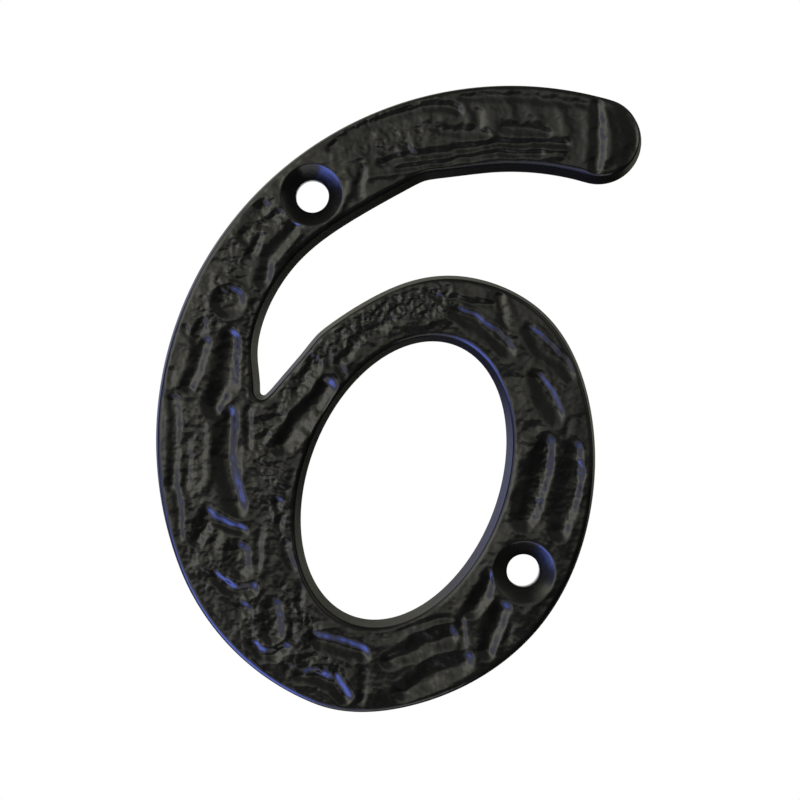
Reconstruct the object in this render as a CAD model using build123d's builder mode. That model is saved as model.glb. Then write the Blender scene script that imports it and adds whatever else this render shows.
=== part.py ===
"""House number 6: one flat-backed iron casting with a hammered front and two countersunk screw holes."""

from build123d import *
import math
import os

# Sizes in millimetres, angles in degrees. The figure is drawn as seen from the front, about the centre of
# the arc that its arm and stem follow. Bearings run anticlockwise from the right-hand side.
ARM_RADIUS = 43.1  # outer edge of arm and stem
ARM_END_BEARING = 73.7  # where the straight part of the stroke stops and the round end begins
ARM_END_WIDTH = 10.5
LOWER_END_BEARING = 97.0  # the arm keeps its end width up to here
ARM_MIDDLE_WIDTH = 10.0
ARM_SHOULDER_WIDTH = 10.2
ARM_NECK_WIDTH = 9.4
ARM_STEM_WIDTH = 10.6
ARM_ROOT_WIDTH = 12.3  # at the crotch, where the bowl leaves the stem
CROTCH_BEARING = 170.9
CROTCH_RADIUS = 0.4
BROW_HEADING = 48.0  # slope of the bowl's top edge where it leaves the crotch

EYE_DISTANCE = 13.9  # from the arm's centre to the eye's centre
EYE_BEARING = 200.5
EYE_LENGTH = 35.1
EYE_WIDTH = 23.0
EYE_LEAN = 21.3  # to the right of upright

# Width of the bowl's stroke outside the eye, measured along a line from the eye's centre.
BOWL_BOTTOM = 11.4
BOWL_LOWER_RIGHT = 12.1
BOWL_RIGHT = 11.3
BOWL_CHEEK = 11.0
BOWL_SHOULDER = 10.1
BOWL_CROWN = 8.5
BOWL_TOP = 7.7
BOWL_BROW = 7.6

THICKNESS = 4.5
DRAFT_INSET = 0.65  # how far the wall leans in from the back to the rounded front edge
EDGE_RADIUS = 0.7  # rounded front edge, made of narrow bevels
EDGE_BEVELS = 4

HOLE_DIAMETER = 4.0
COUNTERSINK_DIAMETER = 7.4
COUNTERSINK_ANGLE = 90.0
UPPER_HOLE_BEARING = 129.2  # about the arm's centre
LOWER_HOLE_BEARING = 323.2  # about the eye's centre
LOWER_HOLE_OUTWARD = 0.4  # how far it lies outside the middle of the bowl's stroke

# Hammer marks. Each is a round-nosed slot: bearing, place across the stroke, slant from the stroke's run,
# length, width, depth. On the bowl the place is measured out from the eye, on the stem in from the outer edge.
BOWL_MARKS = (
    (30, 5.4, -5, 7.2, 3.3, 0.6),
    (42, 7.7, -5, 9.2, 3.2, 0.5),
    (62, 3.2, -10, 9.4, 3.0, 0.5),
    (58, 6.4, -34, 5.0, 2.4, 0.4),
    (358, 3.4, -18, 10.6, 3.6, 0.6),
    (356, 7.5, -4, 10.6, 3.2, 0.5),
    (304, 3.6, 29, 7.0, 3.1, 0.6),
    (302, 8.2, 36, 7.6, 3.2, 0.5),
    (277, 5.7, 21, 8.6, 2.7, 0.4),
    (279, 9.0, 15, 8.6, 3.2, 0.5),
    (248, 4.5, 7, 6.5, 3.6, 0.5),
    (247, 8.8, -2, 8.4, 3.6, 0.5),
    (227, 7.2, -50, 6.2, 3.6, 0.5),
    (203, 8.5, -29, 7.2, 5.2, 0.5),
    (141, 5.2, -3, 10.4, 2.9, 0.5),
    (147, 3.1, -12, 10.6, 3.0, 0.6),
)
STEM_MARKS = (
    (185, 8.5, -7, 12.6, 4.3, 0.6),
    (164, 7.0, 3, 7.6, 4.0, 0.6),
    (173, 7.6, -23, 4.4, 2.8, 0.4),
    (165, 3.4, 1, 8.4, 2.6, 0.4),
    (154, 4.8, 0, 4.6, 4.2, 0.5),
    (180, 2.0, 0, 10.0, 1.2, 0.2),
    (75, 5.1, -75, 7.2, 1.4, 0.25),
)
# Chisel lines that follow the arm: first bearing, last bearing, place in from the outer edge, width, depth.
ARM_LINES = (
    (78, 103, 7.2, 1.2, 0.2),
    (104, 119, 7.6, 1.2, 0.2),
    (101, 126, 2.0, 1.2, 0.2),
    (81, 98, 1.9, 1.2, 0.2),
)

HEEL_RADIUS = ARM_RADIUS - EYE_DISTANCE  # the heel is centred on the eye and touches the arm's arc
HEEL_END_BEARING = 248.0


def polar(radius, bearing):
    return Vector(radius * math.cos(math.radians(bearing)), radius * math.sin(math.radians(bearing)))


EYE_CENTRE = polar(EYE_DISTANCE, EYE_BEARING)


def eye_edge(bearing):
    """Distance from the eye's centre to its edge."""
    turn = math.radians(bearing - 90 + EYE_LEAN)
    return EYE_LENGTH * EYE_WIDTH / 2 / math.hypot(EYE_WIDTH * math.cos(turn), EYE_LENGTH * math.sin(turn))


def on_bowl(bearing, outward):
    """Point on the bowl at a distance outside the eye's edge."""
    return EYE_CENTRE + polar(eye_edge(bearing) + outward, bearing)


def nose_radius(width, depth):
    """Radius of a round nose that leaves a mark of this width and depth."""
    return (width**2 / 4 + depth**2) / (2 * depth)


def in_arm(bearing, inward):
    """Point on the arm at a distance inside its outer edge."""
    return polar(ARM_RADIUS - inward, bearing)


UPPER_HOLE = in_arm(UPPER_HOLE_BEARING, ARM_SHOULDER_WIDTH / 2)
LOWER_HOLE = on_bowl(LOWER_HOLE_BEARING, (BOWL_LOWER_RIGHT + BOWL_RIGHT) / 4 + LOWER_HOLE_OUTWARD)
DATUM = (UPPER_HOLE + LOWER_HOLE) * 0.5

BACK = Plane(origin=(-DATUM.X, 0, -DATUM.Y), x_dir=(1, 0, 0), z_dir=(0, -1, 0))
FRONT = BACK.offset(THICKNESS)


# The bowl's top edge and the stem's inner edge meet in a small round at the crotch.
CROTCH_HEADING = (BROW_HEADING + 90) / 2
CROTCH_LIFT = CROTCH_RADIUS / math.sin(math.radians(CROTCH_HEADING - BROW_HEADING))
CROTCH_CENTRE = in_arm(CROTCH_BEARING, ARM_ROOT_WIDTH) + polar(CROTCH_LIFT, CROTCH_HEADING)

# Section through the wall: height above the back and how far the outline has moved in there.
BEVEL_TURNS = [math.radians(90 * step / EDGE_BEVELS) for step in range(EDGE_BEVELS + 1)]
WALL = [(0, 0)]
WALL += [
    (THICKNESS - EDGE_RADIUS * (1 - math.sin(turn)), DRAFT_INSET + EDGE_RADIUS * (1 - math.cos(turn)))
    for turn in BEVEL_TURNS
]


def draw_figure(inset):
    """Outline of the figure, with every edge moved in by the inset."""
    arm = CenterArc((0, 0), ARM_RADIUS - inset, ARM_END_BEARING, EYE_BEARING - ARM_END_BEARING)
    heel = CenterArc(EYE_CENTRE, HEEL_RADIUS - inset, EYE_BEARING, HEEL_END_BEARING - EYE_BEARING)
    Spline(
        heel @ 1,
        on_bowl(272, BOWL_BOTTOM - inset),
        on_bowl(315, BOWL_LOWER_RIGHT - inset),
        on_bowl(355, BOWL_RIGHT - inset),
        on_bowl(20, BOWL_CHEEK - inset),
        on_bowl(50, BOWL_SHOULDER - inset),
        on_bowl(71, BOWL_CROWN - inset),
        on_bowl(92, BOWL_TOP - inset),
        on_bowl(118, BOWL_BROW - inset),
        CROTCH_CENTRE + polar(CROTCH_RADIUS + inset, BROW_HEADING - 90),
        tangents=[heel % 1, polar(1, BROW_HEADING + 180)],
    )
    CenterArc(CROTCH_CENTRE, CROTCH_RADIUS + inset, BROW_HEADING - 90, -90 - BROW_HEADING)
    end_radius = ARM_RADIUS - ARM_END_WIDTH + inset
    lower_end = CenterArc((0, 0), end_radius, ARM_END_BEARING, LOWER_END_BEARING - ARM_END_BEARING)
    Spline(
        CROTCH_CENTRE + polar(CROTCH_RADIUS + inset, 180),
        in_arm(161, ARM_STEM_WIDTH - inset),
        in_arm(144, ARM_NECK_WIDTH - inset),
        in_arm(126, ARM_SHOULDER_WIDTH - inset),
        in_arm(110, ARM_MIDDLE_WIDTH - inset),
        lower_end @ 1,
        tangents=[polar(1, 90), -(lower_end % 1)],
    )
    end = in_arm(ARM_END_BEARING, ARM_END_WIDTH / 2) + polar(ARM_END_WIDTH / 2 - inset, ARM_END_BEARING - 90)
    ThreePointArc(lower_end @ 0, end, arm @ 0)


with BuildPart() as numeral_six:
    for height, inset in WALL:
        with BuildSketch(BACK.offset(height)):
            with BuildLine():
                draw_figure(inset)
            make_face()
    loft(ruled=True)
    for height, inset in WALL:
        with BuildSketch(BACK.offset(height)):
            with Locations(EYE_CENTRE):
                Ellipse(EYE_LENGTH / 2 + inset, EYE_WIDTH / 2 + inset, rotation=90 - EYE_LEAN)
    loft(ruled=True, mode=Mode.SUBTRACT)
    with Locations(FRONT):
        with Locations(UPPER_HOLE, LOWER_HOLE):
            CounterSinkHole(HOLE_DIAMETER / 2, COUNTERSINK_DIAMETER / 2, counter_sink_angle=COUNTERSINK_ANGLE)
    marks = [(on_bowl(bearing, place), bearing + slant, *size) for bearing, place, slant, *size in BOWL_MARKS]
    marks += [(in_arm(bearing, place), bearing + slant, *size) for bearing, place, slant, *size in STEM_MARKS]
    for centre, turn, length, width, depth in marks:
        nose = nose_radius(width, depth)
        run = (length - width) / 2
        along = polar(1, turn + 90)
        across = polar(1, turn)
        hammer = Plane(
            origin=FRONT.offset(nose - depth).from_local_coords(centre),
            x_dir=(along.X, 0, along.Y),
            z_dir=(across.X, 0, across.Y),
        )
        with BuildSketch(hammer):
            with BuildLine():
                leading = CenterArc((run, 0), nose, 0, 90)
                trailing = CenterArc((-run, 0), nose, 90, 90)
                Line(leading @ 1, trailing @ 0)
                Line(trailing @ 1, leading @ 0)
            make_face()
        revolve(axis=Axis(hammer.origin, hammer.x_dir), mode=Mode.SUBTRACT)
    arm_axis = Axis(BACK.origin, BACK.z_dir)
    for first, last, place, width, depth in ARM_LINES:
        nose = nose_radius(width, depth)
        outward = polar(1, first)
        chisel = Plane(
            origin=FRONT.offset(nose - depth).from_local_coords(in_arm(first, place)),
            x_dir=(outward.X, 0, outward.Y),
            z_dir=BACK.z_dir.cross(Vector(outward.X, 0, outward.Y)),
        )
        with BuildSketch(chisel):
            Circle(nose)
        revolve(axis=arm_axis, revolution_arc=last - first, mode=Mode.SUBTRACT)

numeral_six.part.label = "numeral_six"
os.makedirs("parts", exist_ok=True)
export_step(numeral_six.part, "parts/numeral_six.step")
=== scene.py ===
"""House number 6 in black-painted cast iron: the hammered casting, its paint and a plain studio, built on the
CAD frame."""

import math

import bpy
import numpy as np
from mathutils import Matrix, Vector
from mathutils.geometry import delaunay_2d_cdt
from mathutils.kdtree import KDTree


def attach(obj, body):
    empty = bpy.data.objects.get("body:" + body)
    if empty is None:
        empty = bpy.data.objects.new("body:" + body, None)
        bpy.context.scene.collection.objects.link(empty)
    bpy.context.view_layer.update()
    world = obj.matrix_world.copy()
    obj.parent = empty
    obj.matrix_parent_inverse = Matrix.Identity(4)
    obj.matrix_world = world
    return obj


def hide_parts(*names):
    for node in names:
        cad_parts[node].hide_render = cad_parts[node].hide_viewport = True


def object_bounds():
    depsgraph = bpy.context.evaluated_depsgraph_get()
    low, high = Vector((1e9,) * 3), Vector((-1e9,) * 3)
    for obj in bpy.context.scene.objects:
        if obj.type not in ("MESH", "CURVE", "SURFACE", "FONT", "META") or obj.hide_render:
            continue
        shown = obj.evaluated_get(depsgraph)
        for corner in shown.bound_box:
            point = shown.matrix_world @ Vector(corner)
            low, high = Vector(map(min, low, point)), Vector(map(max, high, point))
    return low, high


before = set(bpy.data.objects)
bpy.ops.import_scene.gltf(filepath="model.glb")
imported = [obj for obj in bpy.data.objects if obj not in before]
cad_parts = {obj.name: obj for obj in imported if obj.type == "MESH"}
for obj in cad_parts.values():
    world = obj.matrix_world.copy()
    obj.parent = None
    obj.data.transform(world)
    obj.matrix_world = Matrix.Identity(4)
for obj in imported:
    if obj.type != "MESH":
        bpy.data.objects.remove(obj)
CAD_LOW, CAD_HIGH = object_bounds()

bl_info = {
    "name": "Hammered House Number",
    "version": (1, 0, 0),
    "blender": (4, 5, 0),
    "location": "3D View > Sidebar > House Number",
    "description": "Builds a hammered cast-iron house number and a plain studio round it",
    "category": "Add Mesh",
}

MM = 0.001
NODE = "numeral_six"
BODY = "root"
WHITE = (1.0, 1.0, 1.0, 1.0)
MIX_FIRST, MIX_SECOND, MIX_RESULT = 6, 7, 2  # sockets of a Mix node that mixes colours
WALL_WAY = (0.0, 1.0, 0.0)  # from the front to the wall that the number hangs on
UP_WAY = (0.0, 0.0, 1.0)

# Casting
BOW_MARGIN = 0.012 * MM  # the smooth outline bows out past the straight edges of the frame by less than this
EDGE_RINGS = 8  # rings of points that round the front edge
CONE_RINGS = 12  # rings of points down a countersink
CONE_SPAN = (0.04, 0.94)  # the part of a countersink's depth that has those rings
BORE_EDGE = 0.05 * MM  # height of the softened edge between bore and countersink
HOLE_RIM = 0.05 * MM  # width of the softened edge between countersink and front
HOLE_RIM_DROP = 0.03 * MM  # and its height
HOLE_FADE = 0.35 * MM  # the hammer work dies out over this width round a countersink
RING_STEP = 1.25  # between the points of a ring, in steps of the grid
RING_GAP = 0.6  # between a ring and the first points of the grid, in steps of the grid
SAME_HEIGHT = 1e-6  # points this close to the back lie on it
SAME_PLACE = 1e-6  # points this close, in millimetres, would be merged by the triangulation
INSIDE_ONLY = 1  # the triangulation drops what lies outside the outline
PLACE_DIGITS = 7  # points that agree to this many digits of a metre are one point

# Hammered front: widths of the bends in its strokes, of its waves, swells, lumps and veins
STRAY_SIZE = 2.6 * MM
WAVE_SIZE = 6.5 * MM
SWELL_SIZE = 2.7 * MM
LUMP_SIZE = 1.1 * MM
VEIN_SIZE = 1.3 * MM
VEIN_SPAN = 0.12  # the part of the noise, on either side of its middle, that sinks to a vein
# Shares of the grain's height, and of a rough patch's, in the lumps, swells and veins
LUMPS_OF_GRAIN, SWELLS_OF_GRAIN, VEINS_OF_GRAIN = 4.5, 5.0, 0.2
LUMPS_OF_ROUGH, VEINS_OF_ROUGH = 4.0, 0.6
LIP_HALF = 0.22 * MM  # half the width of the lip round a dent
FALL_WIDTH = 1.7 * MM  # the front falls away over this width along its edges
FLAT_BACK = 0.99  # faces that look this squarely at the wall are shaded flat
NOISE_ROUGHNESS = 0.6
TINY = 1e-12  # keeps a division by no length finite

# Paint: widths of its clouds, specks and orange peel
CLOUD_SIZE = 4.0 * MM
SPECK_SIZE = 0.5 * MM
PEEL_SIZE = 0.32 * MM
DEEP_SHARE, PALE_SHARE = 0.75, 1.3  # darkest and palest paint, as shares of its colour
CLOUD_TINT, SPECK_TINT = 0.7, 0.3  # how much each says in the colour
CLOUD_GLOSS, SPECK_GLOSS = 0.12, 0.08  # and in the roughness
PAINT_IOR = 1.5

# Studio
FIGURE_CENTRE = (-2.14 * MM, 0.0, -1.99 * MM)  # the point on the back that the camera looks at
SENSOR_WIDTH = 36.0
CLIP_START = 0.01
FLOOR_HALF = 0.4  # half the floor's width
FLOOR_REACH = (-0.3, 0.4)  # front and back of the floor
FLOOR_GLOW = 0.75  # lifts the floor to white for the camera
FLOOR_MOTTLE = 25 * MM
FLOOR_TONES = (0.8, 0.82)
FLOOR_ROUGHNESS = 0.9
LOWER_LEFT_WAY = (-0.82, 0.0, -0.57)
WINDOW_WAY = (-0.66, -0.05, -0.75)
SOFTBOX = {"place": (-0.34, -0.30, -0.02), "size": 0.5, "colour": (1.0, 0.98, 0.9)}
FILL = {"place": (0.25, -0.6, 0.45), "size": 0.6, "colour": (1.0, 0.99, 0.96)}


def dent(depth, *points, skew=0.0, side=0.9, lip=0.0):
    """A hammer stroke that sinks the front. Its deepest line runs through the points, and a skew widens it on
    the right of its run. The side is the sloping share of its half width, and the lip is the height of the
    metal that is pushed up round it."""
    return -depth, skew, side, lip, 0.0, points


def blow(depth, *points, skew=0.0, side=0.9):
    """A dent that is deep enough to push up a lip."""
    return dent(depth, *points, skew=skew, side=side, lip=0.05)


def groove(depth, half, *places):
    """A dent of one width."""
    return dent(depth, *((x, z, half) for x, z in places))


def ridge(height, *points):
    """A raised stroke through the points."""
    return height, 0.0, 1.0, 0.0, 0.0, points


def line(height, half, *places):
    """A ridge of one width."""
    return ridge(height, *((x, z, half) for x, z in places))


def rough(grain, *points):
    """A stippled patch along the points."""
    return 0.0, 0.0, 1.0, 0.0, grain, points


# Hammer work in millimetres as seen from the front. A point is x, z and half width, a place x and z.
ARM_STROKES = (
    dent(
        0.23, (-10.5, 28.2, 0.6), (-8.7, 29.3, 0.72), (-5.5, 31, 0.72), (-2.1, 32.3, 0.78), (1.4, 33.1, 0.9),
        (4.1, 33, 0.84), (5, 32.5, 0.6), lip=0.02,
    ),
    rough(0.035, (-8.1, 27.6, 1.91), (-3.1, 29.3, 2.39), (1.4, 30.3, 2.39)),
    rough(0.14, (-9.5, 29.6, 0.6), (-3.9, 32.7, 0.6), (2.6, 34.7, 0.6)),
    line(0.072, 0.48, (-9.9, 27.2), (-9.9, 26.3)),
    line(0.072, 0.48, (-8.6, 27.9), (-8.5, 26.9)),
    line(0.072, 0.48, (-7.4, 28.5), (-7.3, 27.6)),
    line(0.072, 0.48, (-6.1, 29.1), (-5.8, 27.9)),
    line(0.078, 0.54, (-4.8, 30), (-4.4, 28.4)),
    line(0.06, 0.6, (-2.3, 30.7), (-2.1, 29.3)),
    line(0.06, 0.6, (-0.8, 31), (-0.5, 29.1)),
    line(0.072, 0.84, (1.1, 31.7), (1.3, 29.6)),
    line(0.06, 0.6, (2.9, 31.9), (3.1, 30.5)),
    line(0.18, 0.36, (-7.9, 26.7), (-5.1, 27.5), (-2.5, 28.5)),
    groove(0.16, 0.42, (-6.4, 27.2), (-3.8, 28)),
    line(0.18, 0.6, (-2, 27.9), (-1.8, 27.2)),
    line(0.132, 0.48, (-4.5, 27.2), (-4.2, 26.7)),
    line(0.12, 0.48, (-6.3, 26.4), (-6.3, 26.3)),
    line(0.12, 0.6, (-0.2, 28.4), (0, 27.9)),
    dent(0.2, (-1.1, 28.4, 0.48), (-0.7, 27.4, 0.42)),
    ridge(
        0.132, (-2.4, 26, 0.36), (1.4, 26.7, 0.42), (5.6, 27.5, 0.42), (9.8, 28.1, 0.42), (14.6, 28.2, 0.42),
        (17.9, 27.9, 0.36),
    ),
    ridge(
        0.132, (-6, 24.5, 0.42), (-2.7, 25.1, 0.42), (1.4, 25.8, 0.42), (5.6, 26.7, 0.42), (9.8, 27, 0.42),
        (12.8, 27.3, 0.42), (17, 26.9, 0.36),
    ),
    dent(
        0.23, (-4.5, 26.4, 0.54), (-0.9, 27.2, 0.66), (2.6, 27.6, 0.72), (6.2, 28.2, 0.72), (9.8, 28.6, 0.66),
        (13.4, 28.7, 0.66), (17.7, 28.6, 0.6), lip=0.02,
    ),
    dent(0.22, (-2.7, 25.6, 0.48), (1.4, 26.2, 0.54), (5.6, 26.9, 0.6), (9.8, 27.5, 0.6), (14.6, 27.5, 0.54)),
    dent(
        0.14, (5.3, 34.2, 0.66), (8.6, 34.3, 0.78), (12.2, 34.2, 0.78), (16.4, 33.7, 0.78), (20.6, 33.3, 0.6),
    ),
    dent(0.14, (2.6, 30.3, 0.84), (5.3, 30.2, 1.08), (8.1, 30, 0.84)),
    dent(0.14, (10.4, 30.6, 0.84), (12.8, 30.5, 1.08), (15.5, 29.8, 0.84)),
    ridge(0.096, (5.4, 33.6, 0.54), (6, 32.1, 0.66), (5.9, 30.5, 0.54)),
    line(0.108, 1.08, (8.6, 32.4), (8.9, 30.7)),
    ridge(0.102, (13.4, 33.1, 0.96), (14.6, 31.5, 1.08)),
    line(0.096, 0.96, (11.2, 32.7), (11.5, 31)),
    ridge(0.108, (17, 32.4, 1.08), (17.7, 30, 1.19)),
    groove(0.14, 0.72, (7.2, 32.4), (7.3, 30.3)),
    blow(0.65, (28, 34.3, 4.78), (28, 23.6, 4.78)),
    blow(0.34, (21.6, 33.4, 0.84), (21.6, 29.7, 0.96), (21.5, 25.7, 0.84), skew=0.12),
    ridge(0.18, (22.7, 32.4, 0.6), (23.1, 29.1, 0.96), (22.8, 26.7, 0.84)),
    ridge(0.096, (20.1, 32.4, 0.48), (20.3, 29.1, 0.6), (20.2, 26.7, 0.48)),
    line(0.144, 0.6, (-8, 24.3), (-8.2, 22.4)),
    line(0.18, 0.36, (-8.7, 25.6), (-8.2, 24.5)),
    line(0.18, 0.36, (-8.8, 21.7), (-9.5, 20.4), (-11, 18.9)),
    groove(0.2, 0.72, (-6.7, 25.5), (-7.2, 22.4)),
)
SHOULDER_STROKES = (
    blow(0.3, (-18.4, 20.9, 0.96), (-19.7, 19, 1.31), (-20.7, 17.4, 0.96), skew=0.2),
    blow(0.28, (-16.6, 20.3, 0.72), (-18.6, 19.1, 0.96), (-19.5, 18.2, 0.84), skew=0.12),
    line(0.14, 0.3, (-19.1, 19.6), (-17.4, 20.7)),
    line(0.14, 0.3, (-18.6, 18.8), (-16.7, 20)),
    blow(0.38, (-19, 17.6, 0.72), (-19.4, 16.4, 0.84), (-20.2, 15.3, 0.6), skew=0.12),
    line(0.14, 0.36, (-20.9, 17.4), (-20.1, 17.6)),
    line(0.108, 0.48, (-19.8, 18.3), (-19.7, 18.1)),
    line(0.09, 0.42, (-20.8, 15.8), (-20.8, 15.6)),
    blow(0.34, (-14.3, 18.9, 0.84), (-16.2, 16.6, 0.96), (-17.6, 14.9, 1.08), (-18.3, 12.2, 0.96), skew=0.45),
    ridge(0.12, (-14, 18.2, 0.48), (-15.5, 16.1, 0.6), (-17, 14.3, 0.6), (-17.4, 12.3, 0.48)),
    line(0.072, 0.48, (-14.4, 18.6), (-14.2, 18.3)),
    line(0.06, 0.48, (-13.5, 18), (-13.3, 17.6)),
    groove(0.08, 0.36, (-23.4, 15.7), (-21.5, 16.4)),
    groove(0.07, 0.48, (-24.6, 14.5), (-22.7, 14.3)),
    line(0.048, 0.6, (-24.1, 15.5), (-22.9, 17.4)),
    dent(0.42, (-22.7, 9.8, 2.03), (-22.6, 9.8, 2.03), side=0.45, lip=0.12),
    line(0.096, 0.48, (-23.8, 10.4), (-23.8, 10.2)),
    ridge(0.108, (-22.2, 10.1, 0.6), (-22.7, 9.5, 0.48)),
    line(0.072, 0.42, (-22.6, 8.5), (-22.2, 8.4)),
    rough(0.07, (-17.9, 20.5, 2.39), (-21.7, 15, 2.87), (-25.1, 7.8, 2.87)),
    rough(0.084, (-19.3, 11.7, 1.19), (-19.8, 7, 1.19)),
    rough(0.084, (-20.1, 6.4, 0.96), (-20.3, -1.4, 0.84)),
    rough(0.07, (-17.7, 18.9, 1.67), (-14.1, 19.3, 1.19)),
    rough(0.056, (-18.6, 21.3, 1.19), (-17.4, 21.9, 0.96)),
)
STEM_STROKES = (
    blow(0.25, (-25.7, 7.1, 0.96), (-26.5, 5.2, 0.96)),
    line(0.09, 0.36, (-25.2, 7.3), (-24.8, 6.1)),
    dent(0.36, (-25.3, 4.7, 0.96), (-26.2, 2.2, 1.08), (-27.2, -0.4, 0.96), skew=0.4, lip=0.08),
    line(0.14, 0.36, (-25.2, 4.3), (-26, 1.8), (-27, -0.2)),
    groove(0.15, 0.6, (-27.9, 6.7), (-27.6, 5.7)),
    groove(0.1, 0.48, (-29.5, 1.4), (-29.5, 0.4)),
    blow(0.6, (-22.2, 5.4, 1.43), (-22.4, 2.8, 1.79), (-22.9, -0.2, 1.91), (-24.2, -2.9, 1.43), skew=0.25),
    line(0.16, 0.36, (-23.2, 6.5), (-21.3, 6)),
    rough(0.084, (-21.5, 4.2, 1.08), (-21.7, 0.4, 1.08)),
    line(0.132, 0.72, (-22.6, -1.4), (-23.4, -2.9)),
    line(0.072, 0.48, (-24.5, -3.4), (-24.5, -3.7)),
    groove(0.15, 0.72, (-19.9, -2.2), (-19.8, -2.6)),
    line(0.12, 0.36, (-22.9, -3.3), (-23.9, -4.6)),
    dent(0.2, (-20.3, -3.2, 0.6), (-20.2, -5.6, 0.6), (-20.3, -7.7, 0.48)),
    ridge(0.084, (-21, -3.4, 0.36), (-20.9, -5.6, 0.42), (-20.5, -8.2, 0.36)),
    line(0.09, 0.36, (-30.1, -2.6), (-30.1, -6.8), (-30, -11.3)),
    dent(0.22, (-29, -2, 0.96), (-29, -8, 0.96), (-29.4, -12.5, 0.72)),
    dent(0.16, (-27.6, -7, 0.84), (-27.4, -9.8, 0.96), (-27.7, -12.3, 0.6), skew=0.2),
    ridge(
        0.144, (-25, -4.9, 0.84), (-24.8, -7.4, 0.96), (-24.8, -9.2, 0.96), (-25.1, -11, 0.96),
        (-25.7, -12.7, 0.84),
    ),
    blow(0.58, (-22.5, -3.9, 1.43), (-22.6, -8, 1.67), (-22.2, -11.5, 1.79), (-21.4, -14.5, 1.67), skew=0.35),
    groove(0.15, 0.48, (-21.4, -7.4), (-21.4, -11.8)),
    ridge(0.072, (-20.8, -10.6, 0.6), (-20.7, -12.5, 0.6), (-21.1, -14.5, 0.48)),
    ridge(0.132, (-28.3, -11, 0.36), (-28.1, -12.7, 0.48), (-27.7, -14.2, 0.48)),
    line(0.084, 0.48, (-27.9, -15.4), (-27.7, -18.2)),
    groove(0.2, 0.6, (-28.8, -12.7), (-28.4, -18.2)),
    blow(0.36, (-25.2, -15.4, 1.08), (-25.5, -17.3, 1.31), (-26.2, -19, 0.84), skew=0.12),
    line(0.132, 0.48, (-25.8, -14.8), (-23.4, -15.4), (-20.9, -16.5)),
    blow(0.36, (-25.4, -15.9, 0.72), (-23, -16.8, 0.84), (-21, -17.7, 0.72), skew=0.12),
    ridge(0.072, (-23, -17.8, 0.48), (-23.3, -20.6, 0.6)),
    ridge(0.072, (-21.9, -18, 0.48), (-22.2, -20.8, 0.6)),
    ridge(0.072, (-20.8, -18.2, 0.48), (-21.3, -21.9, 0.6)),
    ridge(0.072, (-19.6, -17.5, 0.48), (-20.1, -21.1, 0.6)),
    ridge(0.108, (-18, -17.2, 0.48), (-18.3, -20.5, 0.6), (-18.7, -22.9, 0.48)),
    dent(0.1, (-19, -17.8, 0.48), (-19.3, -21.8, 0.6)),
    ridge(0.06, (-26.5, -19.7, 0.72), (-25.3, -18.1, 0.6)),
    dent(0.14, (-24.1, -17.5, 0.6), (-24.5, -19.9, 0.72)),
    rough(0.028, (-27.2, -2, 3.11), (-27, -13.9, 3.11)),
    rough(0.056, (-26, -17.5, 2.87), (-25.4, -22.9, 3.35)),
)
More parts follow.
